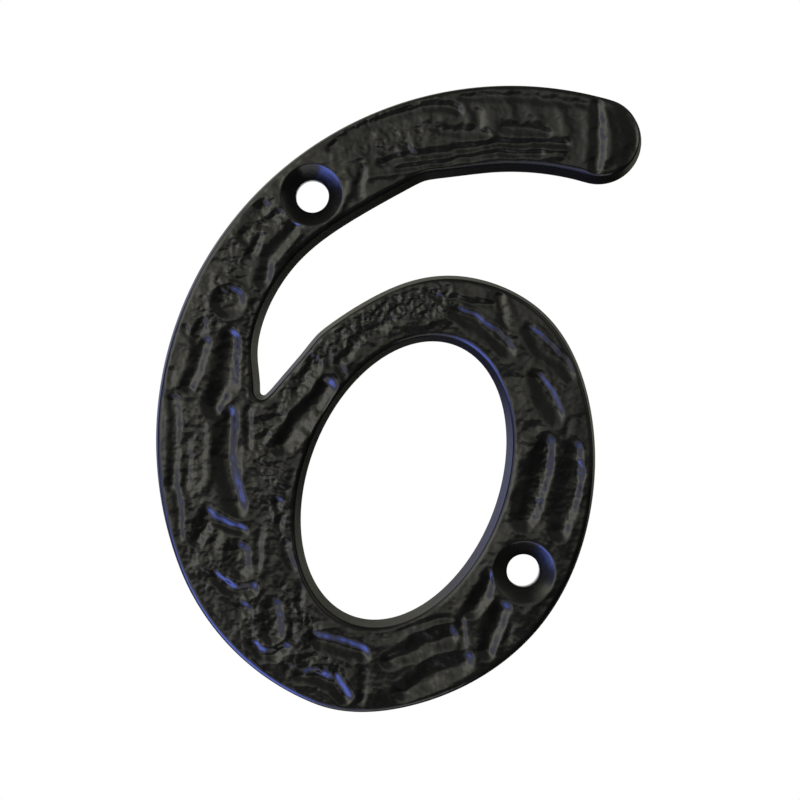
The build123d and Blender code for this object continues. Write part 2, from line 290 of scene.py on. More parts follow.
FORK_STROKES = (
    rough(0.059, (-18.6, -5, 2.63), (-17.9, -10.4, 3.58), (-16.2, -18.7, 2.63)),
    rough(0.07, (-11.9, -3.8, 1.43), (-14.1, -7.4, 1.67)),
    rough(0.084, (-11.9, 3.7, 1.91), (-15.5, -1.4, 2.15)),
    blow(0.3, (-12.3, 2.7, 1.08), (-13.5, 0.9, 1.08), (-14.7, -0.8, 0.96), skew=-0.1),
    line(0.13, 0.36, (-13.1, 3.9), (-11.9, 3.5), (-11.3, 2.3), (-11.7, 0.9)),
    groove(0.15, 0.6, (-10.7, 3.7), (-10.4, 2.1)),
    blow(
        0.75, (-10.9, -0.4, 1.55), (-12.4, -2.4, 1.79), (-14.2, -4.5, 1.79), (-16.2, -7.1, 1.43), skew=-0.15,
    ),
    line(0.13, 0.36, (-11.8, 0.4), (-10.7, 0.6), (-9.8, -0.3)),
    line(0.24, 0.3, (-11.9, 0.4), (-13.1, -1.2), (-14.3, -2.6), (-16.1, -4.9)),
    line(0.084, 0.6, (-13.4, 0.6), (-13.3, 0.4)),
    line(0.084, 0.54, (-14, -0.6), (-14.1, -0.8)),
    groove(0.2, 0.6, (-14.4, 2.1), (-14.8, 0.4)),
    line(0.084, 0.72, (-17.9, -2.5), (-17.9, -2.8)),
    groove(0.18, 0.6, (-16.8, -2.8), (-16.8, -3.4)),
    line(0.072, 0.48, (-15.6, -2), (-15.5, -2.5)),
    groove(0.18, 0.6, (-17.9, -4.5), (-16.1, -3.9)),
    dent(0.16, (-15.3, -8.2, 0.48), (-16.8, -8.2, 0.6), (-17.9, -7.8, 0.48)),
    groove(0.12, 0.48, (-18.5, -6.8), (-17.9, -5.8)),
    line(0.06, 0.6, (-14.1, -10.4), (-14.8, -11.2)),
    groove(0.12, 0.6, (-15, -10.8), (-14.9, -11.2)),
    line(0.06, 0.6, (-19.1, -8.6), (-18.4, -9.4)),
    groove(0.1, 0.48, (-19.2, -9.5), (-17.7, -10.1)),
    ridge(0.06, (-17, -6.3, 0.48), (-16.1, -7.5, 0.6)),
    line(0.18, 0.36, (-16.8, -12), (-16.4, -11.7), (-15.8, -12.3)),
    line(0.084, 0.48, (-16.1, -13.3), (-15.9, -13.6)),
    line(0.14, 0.36, (-15.5, -14.3), (-15.4, -14.9)),
    line(0.12, 0.36, (-17.1, -14.7), (-17, -15.3)),
    line(0.12, 0.36, (-15.2, -15.5), (-15, -16.8)),
    line(0.12, 0.36, (-17.1, -16.1), (-16.8, -17)),
    blow(0.25, (-16.6, -13.9, 0.6), (-16.7, -14.7, 0.6)),
    blow(0.28, (-16.4, -16.1, 0.6), (-16.5, -16.9, 0.72)),
    groove(0.15, 0.48, (-16.7, -12.7), (-15.8, -12.7)),
    line(0.12, 0.36, (-14.9, -19), (-14.3, -21.6), (-13.6, -24.2)),
    dent(0.2, (-16, -19.1, 0.6), (-15.6, -20.9, 0.72), (-15, -22.1, 0.72)),
    line(0.06, 0.48, (-17, -19.3), (-16.8, -21.3)),
    line(0.1, 0.36, (-17.7, -18.1), (-17.4, -19.7)),
)
CROWN_STROKES = (
    rough(0.126, (-9.3, 5.4, 2.87), (-3.1, 9.2, 3.58), (2.6, 9.7, 3.35)),
    blow(0.3, (-7.8, 4.6, 0.6), (-8.5, 3.1, 0.6)),
    line(0.12, 0.36, (-8.8, 4), (-8.9, 3.6)),
    dent(0.16, (-7.9, 4.9, 0.6), (-6.2, 6, 0.6), (-4.3, 7.1, 0.54), (-1.9, 7.9, 0.48), (1.4, 8.3, 0.48)),
    groove(0.12, 0.48, (-6.9, 7.3), (-4.8, 8.2), (-2.4, 9), (0.3, 10)),
    dent(0.22, (-8.8, 3.7, 0.6), (-9.4, 2.1, 0.84), (-8.6, 0.6, 0.72)),
    line(0.072, 0.48, (-7.4, 3), (-7.2, 2.1)),
    line(0.06, 0.48, (-8.2, 2.5), (-8.6, 1.6)),
    line(0.048, 0.72, (-9.9, 5.4), (-9.5, 4.2)),
    line(0.1, 0.36, (-2.1, 6.7), (1.4, 7)),
    dent(0.14, (1.4, 10.6, 0.48), (3.8, 10.2, 0.6), (6.5, 9.6, 0.6)),
    line(0.072, 0.96, (7.8, 11), (8, 10.6)),
    groove(0.16, 0.48, (6.7, 9.7), (8.9, 9.4)),
    line(0.054, 0.48, (1.9, 12), (1.9, 11.2)),
    line(0.054, 0.6, (4.1, 11.9), (4.3, 10.9)),
    ridge(0.06, (3.1, 9.5, 0.6), (3.4, 6.9, 0.72)),
    line(0.054, 0.48, (4.6, 7.1), (4.7, 6.6)),
    line(0.054, 0.48, (5.7, 10.4), (5.9, 10.1)),
)
CHEEK_STROKES = (
    blow(0.34, (4.8, 8.8, 0.96), (6.9, 7.5, 1.31), (8.9, 6.1, 1.31), (10.9, 4.1, 1.19), skew=0.3),
    line(0.14, 0.36, (5.5, 9.1), (7.5, 8), (9.5, 7), (11.5, 5.7)),
    line(0.1, 0.36, (5.4, 7.8), (7.1, 6.9)),
    line(0.072, 0.48, (9.1, 6), (9.8, 5.4)),
    line(0.1, 0.3, (6.2, 5.4), (8, 4.2), (9.5, 3.4)),
    ridge(0.09, (10.6, 10.4, 0.6), (11.2, 8.5, 0.72), (11.8, 6.4, 0.72)),
    dent(0.14, (9.7, 10.2, 0.6), (10.2, 7.8, 0.6), (10.5, 6.4, 0.48)),
    blow(0.31, (13.5, 6.5, 1.08), (15.6, 4.2, 1.55), (17.4, 2.6, 1.55), (18.3, 1.3, 1.08), skew=0.36),
    line(0.09, 0.36, (14, 6.9), (15.5, 5.8), (17.2, 4.1), (18.4, 2.3)),
    ridge(0.048, (12.2, 5.4, 0.48), (13.6, 3.5, 0.6)),
    line(0.042, 0.48, (11.1, 4.6), (11.2, 3.3)),
    blow(0.36, (14.5, 0.7, 1.31), (15.4, -1, 1.55), (16.7, -3.4, 1.43), skew=0.36),
    line(0.12, 0.3, (14.2, 1.4), (15.7, 0.4), (16.9, -1.6), (17.7, -3.4)),
    ridge(0.08, (17.7, -3.7, 0.3), (17.2, -5.3, 0.36), (16, -5.7, 0.3)),
    line(0.042, 0.6, (18.7, -1.4), (19, -5)),
    groove(0.1, 0.6, (18.1, -4.6), (17.7, -6.3)),
    dent(0.09, (13.6, -5.6, 1.31), (13.7, -5.6, 1.31), side=0.5, lip=0.04),
    line(0.042, 0.6, (11.8, 1.4), (12.4, -0.6)),
    groove(0.1, 0.48, (11.5, 0.9), (12.4, 0.6)),
    blow(0.54, (15.7, -7.8, 1.55), (14.9, -11.4, 2.03), (14.1, -14.1, 2.03), (13.2, -16.3, 1.67), skew=0.52),
    line(0.14, 0.3, (12.3, -8), (11.8, -11.3), (11, -13.9), (10.8, -16.3)),
    line(0.1, 0.36, (13.2, -8.3), (14.1, -7.2), (15.2, -6.7)),
    dent(0.12, (15.3, -6.3, 0.36), (16.7, -7.1, 0.48), (17.5, -8.7, 0.48)),
    line(0.1, 0.36, (15.7, -10.1), (15.4, -12.5)),
    line(0.1, 0.36, (15.2, -14.4), (15.4, -18.1)),
    dent(0.14, (14.2, -14.3, 0.42), (14, -15.9, 0.48)),
    line(0.06, 0.42, (13.4, -14.9), (13.2, -16)),
    groove(0.1, 0.36, (14.9, -10.6), (14.8, -12.7)),
    line(0.054, 0.6, (15.5, -9.2), (16.7, -8.6)),
    blow(0.5, (19, -8, 1.43), (18.9, -11.4, 1.91), (18.3, -15, 1.91), (17.6, -17.7, 1.43), skew=0.5),
    line(0.1, 0.36, (19.8, -8.7), (20, -10.6), (19.7, -12.3), (19.3, -13.7)),
    line(0.054, 0.48, (18.7, -16.3), (18.4, -17.5)),
)
CHIN_STROKES = (
    blow(0.42, (8.8, -23.4, 1.08), (7.9, -25.4, 1.43), (6.7, -27.2, 1.31), skew=0.35),
    line(0.12, 0.36, (9.8, -25.1), (8.6, -26.4), (7.7, -27.4), (6, -28.2)),
    line(0.09, 0.3, (7.3, -23.4), (6.1, -25.1), (5.2, -26.6), (5, -27.7)),
    blow(0.46, (10.2, -27.2, 1.31), (9.3, -29.6, 1.55), (8.5, -32.2, 1.08), skew=0.25),
    ridge(0.084, (5.7, -29.5, 0.48), (6.5, -31.3, 0.48), (7.2, -32.9, 0.42)),
    line(0.08, 0.36, (11, -27.9), (10, -30.7), (8.9, -32.3)),
    line(0.072, 0.48, (11.6, -29.2), (12.2, -29)),
    dent(0.14, (11.1, -28, 0.48), (10.8, -30.7, 0.6)),
    line(0.09, 0.3, (16.5, -21.8), (16.5, -23.5), (15.8, -24.9), (14.1, -26.1)),
    blow(0.5, (-3.3, -33.3, 0.96), (0.3, -31.4, 1.67), (3.8, -30.1, 1.55)),
    blow(0.5, (-1.9, -36.9, 1.31), (1.7, -35, 1.91), (5.5, -33.3, 1.67)),
    rough(0.07, (15.5, -7.4, 0.72), (15.2, -11, 0.84), (14, -15.7, 1.08)),
    rough(0.07, (19.3, -8, 0.6), (19, -12.7, 0.72), (18.2, -16.3, 0.84)),
    dent(0.2, (5.2, -28, 0.6), (5.4, -31.6, 0.72)),
    line(0.06, 0.48, (4.1, -28.5), (4.6, -29.6)),
    line(0.06, 0.48, (-0.2, -29.1), (0.1, -28.9)),
    groove(0.12, 0.48, (-1.2, -35), (-2, -37.6)),
    line(0.07, 0.3, (-2.7, -34.5), (-0.7, -33.2), (2.6, -31.9)),
    dent(0.16, (-2.1, -29.7, 0.48), (1.4, -28.5, 0.6), (3.8, -28, 0.48)),
    line(0.048, 0.6, (0.8, -36.6), (3.8, -35.2)),
    line(0.036, 0.96, (4.8, -25.4), (2.9, -26.6)),
)
HEEL_STROKES = (
    rough(0.049, (-23, -22.3, 4.06), (-18.6, -29.7, 4.3), (-10.5, -34.3, 3.58)),
    rough(0.084, (-15.9, -24.7, 1.91), (-12.7, -29.5, 1.67)),
    blow(0.34, (-21.5, -20.3, 1.79), (-21.3, -21.8, 1.79), side=0.75),
    line(0.16, 0.36, (-23.5, -22.7), (-22.2, -23.7), (-20.3, -23.6)),
    dent(
        0.36, (-24, -22.8, 0.72), (-22.9, -24.2, 0.84), (-21.5, -24.8, 0.84), (-19.8, -24.2, 0.72), skew=0.45,
        lip=0.1,
    ),
    line(0.12, 0.36, (-20.9, -25.5), (-19.7, -26.6)),
    groove(0.2, 0.48, (-21.3, -26.2), (-20.3, -27.3)),
    groove(0.16, 0.72, (-21.5, -25.7), (-21.3, -27.8)),
    line(0.048, 0.96, (-24.2, -25.9), (-23.2, -27.3)),
    blow(0.34, (-17.4, -27.1, 1.55), (-17.4, -29.7, 1.67), side=0.75),
    line(0.16, 0.36, (-19.1, -30.7), (-17.7, -31.5), (-16.1, -30.8), (-15.5, -29.2)),
    dent(
        0.34, (-19.6, -31, 0.72), (-18.6, -32.1, 0.84), (-17.3, -32.3, 0.84), (-15.8, -31.4, 0.6), skew=0.45,
        lip=0.1,
    ),
    line(0.1, 0.36, (-18.4, -27.3), (-17.7, -29.2)),
    line(0.1, 0.36, (-16.4, -28.5), (-17, -30.2)),
    line(0.072, 0.6, (-16, -27.3), (-15.9, -28.3)),
    line(0.06, 0.48, (-19.6, -28), (-18.9, -30)),
    groove(0.12, 0.6, (-20.5, -28.5), (-19.6, -30.7)),
    line(0.072, 0.48, (-14.8, -25.7), (-14.9, -26.2)),
    line(0.084, 0.48, (-12.2, -26.4), (-11.2, -27.9)),
    line(0.072, 0.48, (-13.1, -27.8), (-13, -28.3)),
    line(0.078, 0.48, (-13.6, -29.2), (-13.3, -29)),
    line(0.06, 0.48, (-14.3, -30.8), (-13.5, -30.2)),
    line(0.1, 0.36, (-14.3, -27.4), (-14.1, -28)),
    groove(0.18, 0.6, (-14.1, -24.7), (-14.1, -26.4)),
    groove(0.18, 0.6, (-14.9, -28.8), (-14.9, -30.2)),
    line(0.14, 0.36, (-13.1, -29.6), (-10.5, -29.2)),
    blow(0.48, (-11.9, -30.4, 1.19), (-9.3, -31.1, 1.43), (-6.7, -32, 1.19), skew=0.3),
    line(0.108, 0.48, (-10.5, -28.9), (-8.6, -29.5), (-6.7, -30.3)),
    ridge(
        0.12, (-12.7, -33.2, 0.48), (-10.5, -33.4, 0.48), (-8.6, -34.4, 0.48), (-7.6, -36.2, 0.48),
        (-7.3, -37.5, 0.36),
    ),
    blow(
        0.48, (-14.1, -34.9, 1.08), (-11.9, -34.9, 1.19), (-9.9, -35.7, 1.19), (-8.6, -37.6, 0.84), skew=0.2,
    ),
    groove(0.18, 0.72, (-15.4, -34), (-15.2, -34.3)),
    line(0.1, 0.36, (-16, -33.3), (-15.5, -33.1)),
    line(0.06, 0.72, (-7.5, -32.5), (-7.3, -34.5)),
    ridge(0.06, (-5.1, -32.5, 0.6), (-5, -37.2, 0.72)),
    groove(0.12, 0.72, (-6.4, -34.5), (-6.7, -37.8)),
    line(0.09, 0.36, (-10.3, -28.3), (-8.9, -29.4)),
    ridge(0.054, (-14.4, -32.5, 0.72), (-15.9, -32.8, 0.6)),
    groove(0.1, 0.48, (-12.5, -30.7), (-12.7, -32.6)),
)
STROKES = (
    ARM_STROKES
    + SHOULDER_STROKES
    + STEM_STROKES
    + FORK_STROKES
    + CROWN_STROKES
    + CHEEK_STROKES
    + CHIN_STROKES
    + HEEL_STROKES
)


class Wire:
    """A socket of a node tree. Sums on it add Math nodes, and node() adds any other node."""

    def __init__(self, tree, socket=None):
        self.tree = tree
        self.socket = socket

    def node(self, kind, settings=None, inputs=None, output=0):
        """One of the outputs of a new node, which gets its settings first and then its inputs."""
        made = self.tree.nodes.new(kind)
        for name, value in (settings or {}).items():
            setattr(made, name, value)
        for name, value in (inputs or {}).items():
            if isinstance(value, Wire):
                value.feed(made, name)
            else:
                made.inputs[name].default_value = value
        return Wire(self.tree, made.outputs[output])

    def feed(self, node, name):
        """Link this socket to an input of a node."""
        self.tree.links.new(self.socket, node.inputs[name])

    def output(self, name):
        """Another output of the same node."""
        return Wire(self.tree, self.socket.node.outputs[name])

    def maths(self, operation, *terms):
        return self.node("ShaderNodeMath", {"operation": operation}, dict(enumerate(terms)))

    def vectors(self, operation, *terms, output=0):
        return self.node("ShaderNodeVectorMath", {"operation": operation}, dict(enumerate(terms)), output)

    def dot(self, first, second):
        return self.vectors("DOT_PRODUCT", first, second, output="Value")

    def length(self, vector):
        return self.vectors("LENGTH", vector, output="Value")

    def scaled(self, vector, factor):
        return self.node("ShaderNodeVectorMath", {"operation": "SCALE"}, {0: vector, "Scale": factor})

    def mixed(self, share, first, second):
        """A colour that goes from the first to the second with the share."""
        inputs = {"Factor": share, MIX_FIRST: first, MIX_SECOND: second}
        return self.node("ShaderNodeMix", {"data_type": "RGBA"}, inputs, MIX_RESULT)

    def ramp(self, low, high, start=0.0, end=1.0):
        """This value eased from start to end while it goes from low to high."""
        inputs = {"Value": self, "From Min": low, "From Max": high, "To Min": start, "To Max": end}
        return self.node("ShaderNodeMapRange", {"interpolation_type": "SMOOTHSTEP"}, inputs)

    def clamped(self):
        return self.node("ShaderNodeClamp", None, {"Value": self})

    def __add__(self, other):
        return self.maths("ADD", self, other)

    def __radd__(self, other):
        return self.maths("ADD", other, self)

    def __sub__(self, other):
        return self.maths("SUBTRACT", self, other)

    def __rsub__(self, other):
        return self.maths("SUBTRACT", other, self)

    def __mul__(self, other):
        return self.maths("MULTIPLY", self, other)

    def __rmul__(self, other):
        return self.maths("MULTIPLY", other, self)

    def __truediv__(self, other):
        return self.maths("DIVIDE", self, other)

    def __rtruediv__(self, other):
        return self.maths("DIVIDE", other, self)

    def __neg__(self):
        return self.maths("MULTIPLY", self, -1.0)


class CastingSizes(bpy.types.PropertyGroup):
    """Sizes of the casting that the hammered front needs beside the CAD outline."""

    headroom: bpy.props.FloatProperty(
        name="Headroom",
        description="How far the flat of the front lies below the highest ridge",
        default=0.2 * MM,
        unit="LENGTH",
    )
    draft: bpy.props.FloatProperty(
        name="Draft",
        description="How far the wall leans in between the back and the rounded edge",
        default=0.58 * MM,
        unit="LENGTH",
    )
    edge_width: bpy.props.FloatProperty(
        name="Edge Width",
        description="Width of the rounded front edge",
        default=0.58 * MM,
        unit="LENGTH",
    )
    edge_height: bpy.props.FloatProperty(
        name="Edge Height",
        description="Height of the rounded front edge",
        default=0.75 * MM,
        unit="LENGTH",
    )
    countersink: bpy.props.FloatProperty(
        name="Countersink",
        description="Width across the screw holes at the front",
        default=7.34 * MM,
        unit="LENGTH",
    )
    grid: bpy.props.FloatProperty(
        name="Grid",
        description="Distance between the points of the front",
        default=0.155 * MM,
        unit="LENGTH",
    )
    relief: bpy.props.FloatProperty(
        name="Relief",
        description="Depth of the hammer work, as a share of the drawn depth",
        default=1.0,
        subtype="FACTOR",
        min=0.0,
        max=2.0,
    )
    unevenness: bpy.props.FloatProperty(
        name="Unevenness",
        description="Height of the slow waves over the whole front",
        default=0.2 * MM,
        unit="LENGTH",
    )
    grain: bpy.props.FloatProperty(
        name="Grain",
        description="Height of the lumps over the whole front",
        default=0.03 * MM,
        unit="LENGTH",
    )
    wander: bpy.props.FloatProperty(
        name="Wander",
        description="How far the edges of the strokes stray from their drawn line",
        default=1.0 * MM,
        unit="LENGTH",
    )
    melt: bpy.props.IntProperty(
        name="Melt",
        description="How much the paint rounds off the strokes",
        default=4,
        min=0,
    )
    fall: bpy.props.FloatProperty(
        name="Fall",
        description="How far the front falls away towards its edges",
        default=0.08 * MM,
        unit="LENGTH",
    )
    seed: bpy.props.IntProperty(name="Seed", description="Picks the pattern of waves and lumps", default=6)


class PaintLook(bpy.types.PropertyGroup):
    """Colour and gloss of the paint."""

    colour: bpy.props.FloatVectorProperty(
        name="Colour",
        description="Colour of the paint film",
        default=(0.0065, 0.0065, 0.0066),
        size=3,
        subtype="COLOR",
        min=0.0,
        max=1.0,
    )
    roughness: bpy.props.FloatProperty(
        name="Roughness",
        description="Roughness of the paint film",
        default=0.2,
        subtype="FACTOR",
        min=0.0,
        max=1.0,
    )
    peel: bpy.props.FloatProperty(
        name="Orange Peel",
        description="Height of the finest waves in the paint film",
        default=0.006 * MM,
        unit="LENGTH",
    )


class StudioSettings(bpy.types.PropertyGroup):
    """Camera, floor and light."""

    distance: bpy.props.FloatProperty(
        name="Camera Distance",
        description="From the camera to the back of the number",
        default=0.265,
        unit="LENGTH",
    )
    frame_width: bpy.props.FloatProperty(
        name="Frame Width",
        description="Width that the camera takes in at the back of the number",
        default=0.09717,
        unit="LENGTH",
    )
    floor_gap: bpy.props.FloatProperty(
        name="Floor Gap",
        description="From the floor to the lowest point of the number",
        default=0.9,
        unit="LENGTH",
    )
    room: bpy.props.FloatProperty(
        name="Room Light",
        description="Brightness of the room behind the camera, where white is 1",
        default=1.76,
        min=0.0,
    )
    below: bpy.props.FloatProperty(
        name="Below the Camera",
        description="How much darker the room is just below the camera",
        default=0.95,
        subtype="FACTOR",
        min=0.0,
        max=1.0,
    )
    shade: bpy.props.FloatProperty(
        name="Room Shade",
        description="Share of the room's light that is left at the upper right",
        default=0.28,
        subtype="FACTOR",
        min=0.0,
        max=1.0,
    )
    room_colour: bpy.props.FloatVectorProperty(
        name="Room Colour",
        description="Colour of the light from the room",
        default=(1.0, 0.985, 0.82),
        size=3,
        subtype="COLOR",
        min=0.0,
        max=1.0,
    )
    side_colour: bpy.props.FloatVectorProperty(
        name="Side Colour",
        description="Colour of the light from the lower left side",
        default=(0.35, 0.4, 1.0),
        size=3,
        subtype="COLOR",
        min=0.0,
        max=1.0,
    )
    window: bpy.props.FloatProperty(
        name="Window",
        description="Brightness of the cool window at the lower left, where white is 1",
        default=8.5,
        min=0.0,
    )
    window_colour: bpy.props.FloatVectorProperty(
        name="Window Colour",
        description="Colour of the light from the window",
        default=(0.2, 0.28, 1.0),
        size=3,
        subtype="COLOR",
        min=0.0,
        max=1.0,
    )
    softbox: bpy.props.FloatProperty(
        name="Softbox",
        description="Power of the soft lamp at the left",
        default=0.5,
        min=0.0,
        unit="POWER",
    )
    fill: bpy.props.FloatProperty(
        name="Fill",
        description="Power of the soft lamp in front, which the paint doesn't mirror",
        default=2.4,
        min=0.0,
        unit="POWER",
    )


def back_loops(node):
    """Closed outlines of a node's flat back, longest first, as x and z. The metal lies on the right."""
    mesh = node.data
    mesh.calc_loop_triangles()
    points = np.empty(len(mesh.vertices) * 3)
    mesh.vertices.foreach_get("co", points)
    points = points.reshape(-1, 3)
    corners = np.empty(len(mesh.loop_triangles) * 3, np.int32)
    mesh.loop_triangles.foreach_get("vertices", corners)
    corners = corners.reshape(-1, 3)
    on_back = points[:, 1] > points[:, 1].max() - SAME_HEIGHT
    flat = corners[on_back[corners].all(axis=1)]
    places, place_of = np.unique(np.round(points[:, [0, 2]], PLACE_DIGITS), axis=0, return_inverse=True)
    flat = place_of.reshape(-1)[flat]
    edges = {(int(a), int(b)) for face in flat for a, b in zip(face, np.roll(face, -1))}
    follows = {a: b for a, b in edges if (b, a) not in edges}
    loops = []
    while follows:
        start, after = follows.popitem()
        loop = [start]
        while after != start:
            loop.append(after)
            after = follows.pop(after)
        loops.append(places[loop])
    return sorted(loops, key=lambda loop: -np.linalg.norm(loop - np.roll(loop, 1, axis=0), axis=1).sum())


def smooth_loop(points, spacing):
    """Even points on a smooth closed curve through the given ones, and the directions away from the metal."""
    before = points - np.roll(points, 1, axis=0)
    after = np.roll(before, -1, axis=0)
    reach_before = np.linalg.norm(before, axis=1)[:, None]
    reach_after = np.linalg.norm(after, axis=1)[:, None]
    slope = before / reach_before * reach_after + after / reach_after * reach_before
    slope /= reach_before + reach_after
    length = reach_after[:, 0]
    start = np.concatenate(([0.0], np.cumsum(length)))
    along = np.linspace(0, start[-1], round(start[-1] / spacing), endpoint=False)
    piece = np.searchsorted(start, along, side="right") - 1
    span = length[piece][:, None]
    t = (along - start[piece])[:, None] / span
    first, last = points[piece], np.roll(points, -1, axis=0)[piece]
    leave, arrive = slope[piece] * span, np.roll(slope, -1, axis=0)[piece] * span
    curve = (2 * t**3 - 3 * t**2 + 1) * first + (t**3 - 2 * t**2 + t) * leave
    curve += (3 * t**2 - 2 * t**3) * last + (t**3 - t**2) * arrive
    heading = (6 * t**2 - 6 * t) * (first - last) + (3 * t**2 - 4 * t + 1) * leave
    heading += (3 * t**2 - 2 * t) * arrive
    heading /= np.linalg.norm(heading, axis=1)[:, None]
    return curve, np.stack((-heading[:, 1], heading[:, 0]), axis=1)


def between(loop, places, z):
    """Which places on a level line lie inside a loop."""
    ends = np.roll(loop, -1, axis=0)
    cut = (loop[:, 1] <= z) != (ends[:, 1] <= z)
    share = (z - loop[cut, 1]) / (ends[cut, 1] - loop[cut, 1])
    crossings = np.sort(loop[cut, 0] + share * (ends[cut, 0] - loop[cut, 0]))
    return np.searchsorted(crossings, places) % 2 == 1


def fill_points(outline, openings, spacing):
    """Points of an even triangular grid inside the outline and outside the openings."""
    low, high = outline.min(axis=0), outline.max(axis=0)
    rows = []
    for row, z in enumerate(np.arange(low[1], high[1], spacing * math.sqrt(3) / 2)):
        places = np.arange(low[0] + spacing * (row % 2) / 2, high[0], spacing)
        kept = between(outline, places, z)
        for opening in openings:
            kept &= ~between(opening, places, z)
        rows.append(np.stack((places[kept], np.full(kept.sum(), z)), axis=1))
    return np.concatenate(rows)


def triangulate(loops, inner):
    """Triangles between the outline, the round openings and the inner points, numbered in that order."""
    points = np.concatenate([*loops, inner])
    edges = []
    first = 0
    for loop in loops:
        edges += [(first + i, first + (i + 1) % len(loop)) for i in range(len(loop))]
        first += len(loop)
    scale = 1 / MM
    places = [Vector(p) * scale for p in points]
    found = delaunay_2d_cdt(places, edges, [], INSIDE_ONLY, SAME_PLACE)
    if len(found[0]) != len(points):
        raise RuntimeError("the outlines of the casting cross each other")
    corners = np.array(found[2])
    owners = [np.full(len(loop), i) for i, loop in enumerate(loops)]
    owner = np.concatenate([*owners, np.full(len(inner), -1)])
    lies_on = owner[corners]
    in_opening = (lies_on[:, 0] > 0) & (lies_on == lies_on[:, :1]).all(axis=1)
    return corners[~in_opening]

def distance_to(rims, points):
    """How far each point lies from the nearest point of the rims."""
    tree = KDTree(len(rims))
    for i, (x, z) in enumerate(rims):
        tree.insert((x, z, 0.0), i)
    tree.balance()
    return [tree.find((x, z, 0.0))[2] for x, z in points]


def wall_rows(sizes, level):
    """Rings up a wall and round its front edge: height, inset and share of the hammer work."""
    shoulder = level - sizes.edge_height
    rows = [(0.0, BOW_MARGIN, 0.0)]
    for turn in np.linspace(0, math.pi / 2, EDGE_RINGS):
        height = shoulder + sizes.edge_height * math.sin(turn)
        inset = sizes.draft + sizes.edge_width * (1 - math.cos(turn))
        rows.append((height, inset, math.sin(turn) ** 3))
    return rows


def hole_rows(sizes, level, bore_width):
    """Rings up a screw hole, which has no hammer work."""
    sink = (sizes.countersink - bore_width) / 2
    bore = level - sink - HOLE_RIM / 2
    rows = [(0.0, 0.0), (bore / 2, 0.0), (bore - BORE_EDGE, 0.0)]
    rows += [(bore + sink * share, sink * share) for share in np.linspace(*CONE_SPAN, CONE_RINGS)]
    rows += [(level - HOLE_RIM_DROP, sink), (level, sink + HOLE_RIM)]
    return [(height, inset, 0.0) for height, inset in rows]


def casting_mesh(sizes):
    """The casting with a plain front: back, walls, rounded edges, screw holes and a dense front."""
    level = CAD_HIGH.y - CAD_LOW.y - sizes.headroom
    outline, eye, *holes = back_loops(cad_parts[NODE])
    wall = wall_rows(sizes, level)
    cone = hole_rows(sizes, level, np.ptp(holes[0][:, 0]))
    points, faces, front, tops, backs, margins = [], [], [], [], [], []
    for loop, rows in [(outline, wall), (eye, wall)] + [(hole, cone) for hole in holes]:
        curve, away = smooth_loop(loop, sizes.grid * RING_STEP)
        count = len(curve)
        first = len(points)
        for height, inset, share in rows:
            ring = curve - away * inset
            points += [(x, -height, z) for x, z in ring]
            front += [share] * count
        for row in range(len(rows) - 1):
            low, high = first + row * count, first + (row + 1) * count
            for i in range(count):
                j = (i + 1) % count
                faces.append((low + i, high + i, high + j, low + j))
        tops.append((ring, np.arange(count) + first + (len(rows) - 1) * count))
        backs.append((curve - away * rows[0][1], np.arange(count) + first))
        margins.append(ring - away * sizes.grid * RING_GAP)
    inner = fill_points(margins[0], margins[1:], sizes.grid)
    edge = [0.0] * len(points) + distance_to(np.concatenate([tops[0][0], tops[1][0]]), inner)
    near = np.min([np.linalg.norm(inner - hole.mean(axis=0), axis=1) for hole in holes], axis=0)
    fade = np.clip((near - sizes.countersink / 2 - HOLE_RIM) / HOLE_FADE, 0, 1)
    front += list(fade * fade * (3 - 2 * fade))
    number = np.concatenate([index for ring, index in tops] + [np.arange(len(inner)) + len(points)])
    points += [(x, -level, z) for x, z in inner]
    faces += [tuple(face) for face in number[triangulate([ring for ring, index in tops], inner)]]
    number = np.concatenate([index for curve, index in backs])
    back = triangulate([curve for curve, index in backs], np.empty((0, 2)))
    faces += [tuple(face[::-1]) for face in number[back]]
    mesh = bpy.data.meshes.new(NODE + "_casting")
    mesh.from_pydata(points, [], faces)
    for name, values in (("front", front), ("edge", edge)):
        mesh.attributes.new(name, "FLOAT", "POINT").data.foreach_set("value", np.array(values, np.float32))
    mesh.update()
    return mesh


def stroke_mesh():
    """One point for each straight piece of a stroke, which carries its two ends and its form."""
    starts, ends, forms, sides = [], [], [], []
    for height, skew, side, lip, grain, points in STROKES:
        for (x, z, half), (end_x, end_z, end_half) in zip(points, points[1:]):
            starts.append((x, half, z))
            ends.append((end_x, end_half, end_z))
            forms.append((height, lip, grain))
            sides.append((skew, side, 0.0))
    mesh = bpy.data.meshes.new("strokes")
    mesh.from_pydata((np.array(starts) * MM).tolist(), [], [])
    for name, values, unit in (("end", ends, MM), ("form", forms, MM), ("side", sides, 1.0)):
        held = mesh.attributes.new(name, "FLOAT_VECTOR", "POINT")
        held.data.foreach_set("vector", (np.array(values, np.float32) * unit).ravel())
    return mesh


